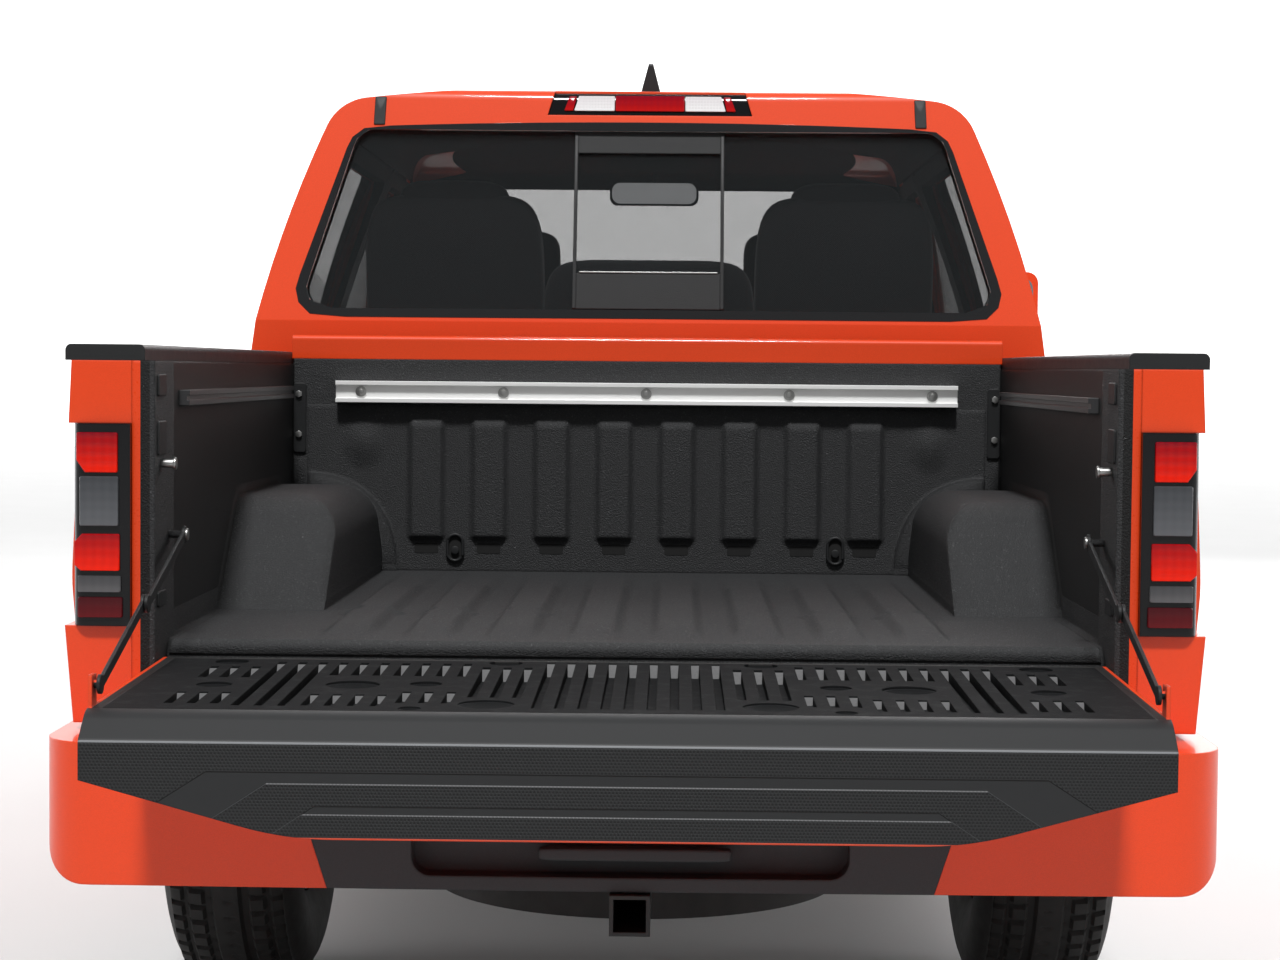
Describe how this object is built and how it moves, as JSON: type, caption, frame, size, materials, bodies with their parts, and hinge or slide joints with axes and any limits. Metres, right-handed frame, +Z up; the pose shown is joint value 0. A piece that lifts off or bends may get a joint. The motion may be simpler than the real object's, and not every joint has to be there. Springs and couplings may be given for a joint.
{
  "type": "pickup truck",
  "caption": "Orange crew-cab pickup truck with its tailgate lowered, an open bed, opening doors and hood, and wheels that roll and steer.",
  "frame": {"origin": "on the ground, on the centre line, halfway between the front bumper and the end of the lowered tailgate", "axes": "+Y towards the front of the truck, +X to its right, +Z up"},
  "size_m": [2.313, 5.735, 1.968],
  "materials": {
    "body_paint": "orange gloss paint",
    "bed_liner": "dark speckled liner",
    "black_plastic": "textured black plastic",
    "grey_plastic": "dark grey moulded plastic",
    "chassis": "black painted frame steel",
    "cast": "cast and machined iron",
    "steel": "bare steel",
    "alloy": "dark painted alloy",
    "rail_aluminium": "satin aluminium",
    "tyre": "rubber with tread",
    "glass": "tinted glass",
    "lamp": "red and clear lens",
    "headlamp": "clear lens",
    "seat_fabric": "dark grey woven cloth",
    "trim": "soft dark trim"
  },
  "bodies": {
    "truck": {"frame_rails": "chassis", "crossmembers": "chassis", "front_suspension": "cast", "driveline": "cast", "engine": "cast", "rear_axle": "chassis", "leaf_springs": "chassis", "fuel_tank": "black_plastic", "exhaust": "steel", "spare_wheel": "tyre", "hitch_receiver": "chassis", "bed_box": "bed_liner", "bed_sides": "body_paint", "bed_caps": "black_plastic", "bed_lip": "body_paint", "cargo_rails": "rail_aluminium", "bumper_step": "grey_plastic", "interior_mirror": "trim", "roof_strips": "black_plastic", "roof_antenna": "black_plastic", "rear_bumper": "body_paint", "tail_lamps": "lamp", "cab_body": "body_paint", "cab_glass": "glass", "front_fenders": "body_paint", "front_support": "chassis", "grille": "black_plastic", "headlamps": "headlamp", "front_bumper": "body_paint", "front_seats": "seat_fabric", "rear_seat": "seat_fabric", "dashboard": "trim"},
    "hood": {"hood": "body_paint"},
    "tailgate": {"tailgate": "body_paint", "tailgate_liner": "black_plastic", "tailgate_cap": "black_plastic"},
    "cable_upper": {"tailgate_cable_upper": "steel"},
    "cable_lower": {"tailgate_cable_lower": "steel"},
    "knuckle_left": {"knuckle_left": "cast"},
    "knuckle_right": {"knuckle_right": "cast"},
    "wheel_front_left": {"tyre_front_left": "tyre", "rim_front_left": "alloy"},
    "wheel_rear_left": {"tyre_rear_left": "tyre", "rim_rear_left": "alloy"},
    "door_front_left": {"door_front_left": "body_paint", "glass_front_left": "glass", "mirror_left": "body_paint"},
    "door_rear_left": {"door_rear_left": "body_paint", "glass_rear_left": "glass"},
    "wheel_front_right": {"tyre_front_right": "tyre", "rim_front_right": "alloy"},
    "wheel_rear_right": {"tyre_rear_right": "tyre", "rim_rear_right": "alloy"},
    "door_front_right": {"door_front_right": "body_paint", "glass_front_right": "glass", "mirror_right": "body_paint"},
    "door_rear_right": {"door_rear_right": "body_paint", "glass_rear_right": "glass"}
  },
  "joints": [
    {"name": "hood_hinge", "type": "hinge", "parent": "truck", "child": "hood", "pos_m": [0, 1.53625, 1.23771], "axis": [1, 0, 0], "range_deg": [0, 48]},
    {"name": "tailgate_hinge", "type": "hinge", "parent": "truck", "child": "tailgate", "pos_m": [0, -2.2975, 0.735], "axis": [-1, 0, 0], "range_deg": [0, 90]},
    {"name": "cable_stud", "type": "hinge", "parent": "truck", "child": "cable_upper", "pos_m": [0, -2.2155, 0.972], "axis": [-1, 0, 0], "range_deg": [0, 167.02]},
    {"name": "cable_fold", "type": "hinge", "parent": "cable_upper", "child": "cable_lower", "pos_m": [0, -2.504, 0.8845], "axis": [1, 0, 0], "range_deg": [0, 129.17]},
    {"name": "steer_left", "type": "hinge", "parent": "truck", "child": "knuckle_left", "pos_m": [-0.69, 1.9625, 0.4015], "axis": [0, 0, 1], "range_deg": [-32, 32]},
    {"name": "wheel_front_left_spin", "type": "hinge", "parent": "knuckle_left", "child": "wheel_front_left", "pos_m": [-0.785, 1.9625, 0.4015], "axis": [1, 0, 0], "continuous": true},
    {"name": "wheel_rear_left_spin", "type": "hinge", "parent": "truck", "child": "wheel_rear_left", "pos_m": [-0.785, -1.2375, 0.4015], "axis": [1, 0, 0], "continuous": true},
    {"name": "door_front_left_hinge", "type": "hinge", "parent": "truck", "child": "door_front_left", "pos_m": [-0.925, 1.42125, 0.9], "axis": [0, 0, -1], "range_deg": [0, 66]},
    {"name": "door_rear_left_hinge", "type": "hinge", "parent": "truck", "child": "door_rear_left", "pos_m": [-0.925, 0.33825, 0.9], "axis": [0, 0, -1], "range_deg": [0, 68]},
    {"name": "steer_right", "type": "hinge", "parent": "truck", "child": "knuckle_right", "pos_m": [0.69, 1.9625, 0.4015], "axis": [0, 0, 1], "range_deg": [-32, 32]},
    {"name": "wheel_front_right_spin", "type": "hinge", "parent": "knuckle_right", "child": "wheel_front_right", "pos_m": [0.785, 1.9625, 0.4015], "axis": [1, 0, 0], "continuous": true},
    {"name": "wheel_rear_right_spin", "type": "hinge", "parent": "truck", "child": "wheel_rear_right", "pos_m": [0.785, -1.2375, 0.4015], "axis": [1, 0, 0], "continuous": true},
    {"name": "door_front_right_hinge", "type": "hinge", "parent": "truck", "child": "door_front_right", "pos_m": [0.925, 1.42125, 0.9], "axis": [0, 0, 1], "range_deg": [0, 66]},
    {"name": "door_rear_right_hinge", "type": "hinge", "parent": "truck", "child": "door_rear_right", "pos_m": [0.925, 0.33825, 0.9], "axis": [0, 0, 1], "range_deg": [0, 68]}
  ],
  "couplings": [
    {"joint": "cable_stud", "follows": "tailgate_hinge", "ratio": 1.8558},
    {"joint": "cable_fold", "follows": "tailgate_hinge", "ratio": 1.4352},
    {"joint": "steer_right", "follows": "steer_left", "ratio": 1}
  ]
}
